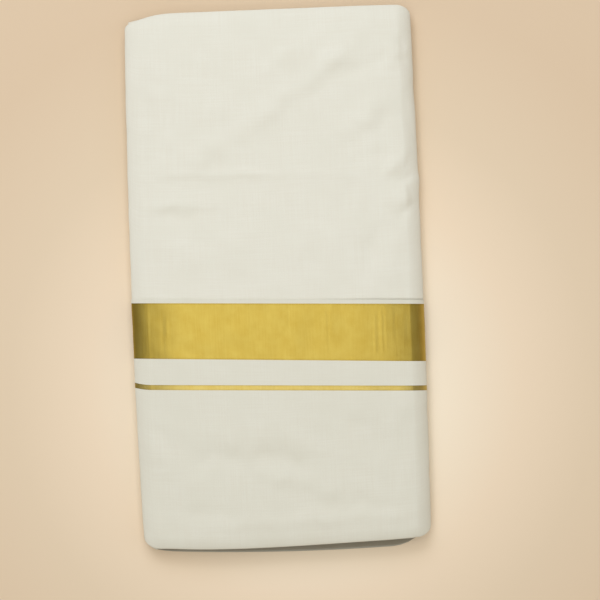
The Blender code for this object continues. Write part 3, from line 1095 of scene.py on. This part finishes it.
def page_tree(material):
    """Lays the page PAGES times, moves each to its place, and lets its edge wander."""
    tree = bpy.data.node_groups.new("lay_pages", "GeometryNodeTree")
    tree.interface.new_socket("Geometry", in_out="INPUT", socket_type="NodeSocketGeometry")
    for name, value in PAGE_INPUTS:
        kind = "NodeSocketInt" if isinstance(value, int) else "NodeSocketFloat"
        tree.interface.new_socket(name, in_out="INPUT", socket_type=kind)
    tree.interface.new_socket("Geometry", in_out="OUTPUT", socket_type="NodeSocketGeometry")
    given = add(tree, "NodeGroupInput").outputs
    found = {name: given[name] for name, _ in PAGE_INPUTS}

    stack = add(tree, "GeometryNodeMeshLine", {"Count": given["Pages"], "Offset": (0, 0, 0)})
    laid = add(
        tree,
        "GeometryNodeInstanceOnPoints",
        {"Points": stack.outputs[0], "Instance": given["Geometry"]},
    )
    number = add(tree, "GeometryNodeInputIndex").outputs[0]
    numbered = add(
        tree,
        "GeometryNodeStoreNamedAttribute",
        {"Geometry": laid.outputs[0], "Name": "page", "Value": number},
        data_type="FLOAT",
        domain="INSTANCE",
    )
    real = add(tree, "GeometryNodeRealizeInstances", {"Geometry": numbered.outputs[0]})
    found["page"] = add(
        tree, "GeometryNodeInputNamedAttribute", {"Name": "page"}, data_type="FLOAT"
    ).outputs[0]
    for name, operation, *inputs in PAGE_SHARE_SUMS:
        sockets = {at: found.get(value, value) for at, value in enumerate(inputs)}
        found[name] = add(tree, "ShaderNodeMath", sockets, operation=operation).outputs[0]

    lowest = add(tree, "GeometryNodeInputPosition").outputs[0]
    highest = add(
        tree, "GeometryNodeInputNamedAttribute", {"Name": "highest_place"}, data_type="FLOAT_VECTOR"
    ).outputs[0]
    for share, axes in (("share", {"X": "X", "Z": "Z"}), ("back share", {"Y": "back Y"})):
        between_them = {0: found[share], 4: lowest, 5: highest}
        place = add(tree, "ShaderNodeMix", between_them, data_type="VECTOR").outputs[1]
        parts = add(tree, "ShaderNodeSeparateXYZ", {0: place}).outputs
        found.update({name: parts[axis] for axis, name in axes.items()})
    found["left"] = add(
        tree, "ShaderNodeMath", {0: found["X"], 1: -1.0}, operation="MULTIPLY"
    ).outputs[0]
    for name, across, end in (("spine", "X", "Spine To"), ("nose", "left", "Nose To")):
        found["towards " + name] = add(
            tree,
            "ShaderNodeMapRange",
            {"Value": found[across], "From Min": given["Side From"], "From Max": given[end]},
            interpolation_type="SMOOTHSTEP",
        ).outputs[0]
    found["drift"] = add(
        tree,
        "ShaderNodeTexNoise",
        {"Vector": lowest, "W": found["seed"], "Scale": 14.0, "Detail": 1.0},
        noise_dimensions="4D",
    ).outputs["Fac"]

    sums = []
    for hollow, middle, half in FOLD_HOLLOWS:
        named = {None: hollow, "middle": middle, "half": half}
        for operation, *inputs in HOLLOW_SUMS:
            sums.append((hollow, operation, *(named.get(value, value) for value in inputs)))
    for name, operation, *inputs in (*sums, *PAGE_PLACE_SUMS):
        sockets = {at: found.get(value, value) for at, value in enumerate(inputs)}
        found[name] = add(tree, "ShaderNodeMath", sockets, operation=operation).outputs[0]

    moved = add(tree, "ShaderNodeCombineXYZ", {axis: found[axis] for axis in "XYZ"}).outputs[0]
    placed = add(tree, "GeometryNodeSetPosition", {"Geometry": real.outputs[0], "Position": moved})
    finished = add(
        tree, "GeometryNodeSetMaterial", {"Geometry": placed.outputs[0], "Material": material}
    )
    add(tree, "NodeGroupOutput", {"Geometry": finished.outputs[0]})
    return tree


inner_pages = bpy.data.objects.new("inner_pages_cloth", page_mesh())
bpy.context.scene.collection.objects.link(inner_pages)
laying = inner_pages.modifiers.new("lay_pages", "NODES")
laying.node_group = page_tree(inner_material())
for item in laying.node_group.interface.items_tree:
    for name, value in PAGE_INPUTS:
        if item.in_out == "INPUT" and item.name == name:
            laying[item.identifier] = value
graph = bpy.context.evaluated_depsgraph_get()
laid_pages = bpy.data.meshes.new_from_object(inner_pages.evaluated_get(graph))
inner_pages.modifiers.remove(laying)
inner_pages.data = laid_pages
laid_pages.shade_smooth()
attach(inner_pages, "root")
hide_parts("inner_pages")

# ---------------------------------------------------------------- the studio
# A plain pale floor of painted board, one large soft light overhead, a second from beyond the
# packet's head, and weak fills from the spine's side and the foot's, as over a copy stand.

FLOOR_SIZE = 9.0
half = FLOOR_SIZE / 2
floor_mesh = bpy.data.meshes.new("floor")
floor_corners = [(-half, -half, 0), (half, -half, 0), (half, half, 0), (-half, half, 0)]
floor_mesh.from_pydata(floor_corners, [], [(0, 1, 2, 3)])
floor = bpy.data.objects.new("floor", floor_mesh)
bpy.context.scene.collection.objects.link(floor)

# Board painted with matt emulsion, with a painted pool of light: paler round a middle set towards the
# packet's foot, where it also lightens the packet's shadow.
LIGHT_POOL_MIDDLE = (0.0172, -0.0850, 0.0)
FLOOR_COLOURS_WITH_LIGHT_POOL = (
    # metres from the middle, colour there
    (0.00, "#FAEEDB"),
    (0.11, "#F7E9D2"),
    (0.17, "#F0DCC1"),
    (0.23, "#E5D1B5"),
    (0.32, "#DFC8AB"),
    (1.00, "#E2CAAD"),
)
paint, tree = new_material("matt_emulsion_paint_on_board")
place = add(tree, "ShaderNodeTexCoord").outputs["Object"]
from_middle = add(
    tree, "ShaderNodeVectorMath", {0: place, 1: LIGHT_POOL_MIDDLE}, operation="DISTANCE"
).outputs["Value"]
painted_light_pool = add(tree, "ShaderNodeValToRGB", {"Fac": from_middle})
while len(painted_light_pool.color_ramp.elements) < len(FLOOR_COLOURS_WITH_LIGHT_POOL):
    painted_light_pool.color_ramp.elements.new(0.5)
for stop, (distance, colour) in zip(painted_light_pool.color_ramp.elements, FLOOR_COLOURS_WITH_LIGHT_POOL):
    stop.position, stop.color = distance, linear(colour)
shader = add(
    tree,
    "ShaderNodeBsdfPrincipled",
    {"Base Color": painted_light_pool.outputs[0], "Roughness": 0.9, "Specular IOR Level": 0.1},
)
add(tree, "ShaderNodeOutputMaterial", {"Surface": shader.outputs[0]})
floor_mesh.materials.append(paint)

LIGHTS = (
    # name, place, aimed at, size across and along, power in watts, colour
    ("overhead_softbox", (-0.13, 0.45, 1.9), (-0.13, 0.45, 0.0), (1.7, 2.6), 22.4, "#FFFDF7"),
    ("head_softbox", (-0.4, 1.45, 1.5), (0.0, 0.0, 0.0), (1.6, 1.0), 15.4, "#E2EDFF"),
    ("spine_side_fill", (1.5, 0.0, 1.3), (0.0, 0.0, 0.0), (1.3, 1.6), 2.9, "#FFFFFF"),
    ("foot_side_fill", (-0.5, -1.6, 1.1), (0.0, -0.1, 0.0), (2.0, 1.0), 3.5, "#FFFBF2"),
)


def aim(thing, place, target):
    """Places a light or the camera and points it, as it looks down its own -Z."""
    thing.location = place
    direction = Vector(target) - Vector(place)
    thing.rotation_euler = direction.to_track_quat("-Z", "Y").to_euler()


for name, place, target, size, power, colour in LIGHTS:
    lamp = bpy.data.lights.new(name, "AREA")
    lamp.shape = "RECTANGLE"
    lamp.size, lamp.size_y = size
    lamp.energy = power
    lamp.color = linear(colour)[:3]
    light = bpy.data.objects.new(name, lamp)
    bpy.context.scene.collection.objects.link(light)
    aim(light, place, target)

WORLD_COLOUR = "#F4EEE6"
WORLD_STRENGTH = 0.33
world = bpy.data.worlds.new("studio")
bpy.context.scene.world = world
world.use_nodes = True
world.node_tree.nodes["Background"].inputs["Color"].default_value = linear(WORLD_COLOUR)
world.node_tree.nodes["Background"].inputs["Strength"].default_value = WORLD_STRENGTH
bpy.context.scene.view_settings.view_transform = "Standard"

# The camera looks straight down the packet's front from just foot-side of overhead, and is
# turned so that the packet leans a little to the left.
CAMERA_HEIGHT = 1.5
CAMERA_TILT = math.radians(0.8)
CAMERA_ROLL = math.radians(2.3)
VIEW_WIDTH = 0.4656
SENSOR = 36.0
CAMERA_TARGET = (0.0174, -0.0177, HEIGHT)
camera_data = bpy.data.cameras.new("camera")
camera = bpy.data.objects.new("camera", camera_data)
bpy.context.scene.collection.objects.link(camera)
bpy.context.scene.camera = camera
camera_data.sensor_width = SENSOR
camera_data.lens = SENSOR * CAMERA_HEIGHT / VIEW_WIDTH
camera_data.clip_start, camera_data.clip_end = 0.05, 50
camera.rotation_euler = (CAMERA_TILT, 0.0, -CAMERA_ROLL)
camera.location = (
    CAMERA_TARGET[0] - CAMERA_HEIGHT * math.sin(CAMERA_TILT) * math.sin(CAMERA_ROLL),
    CAMERA_TARGET[1] - CAMERA_HEIGHT * math.sin(CAMERA_TILT) * math.cos(CAMERA_ROLL),
    CAMERA_TARGET[2] + CAMERA_HEIGHT * math.cos(CAMERA_TILT),
)
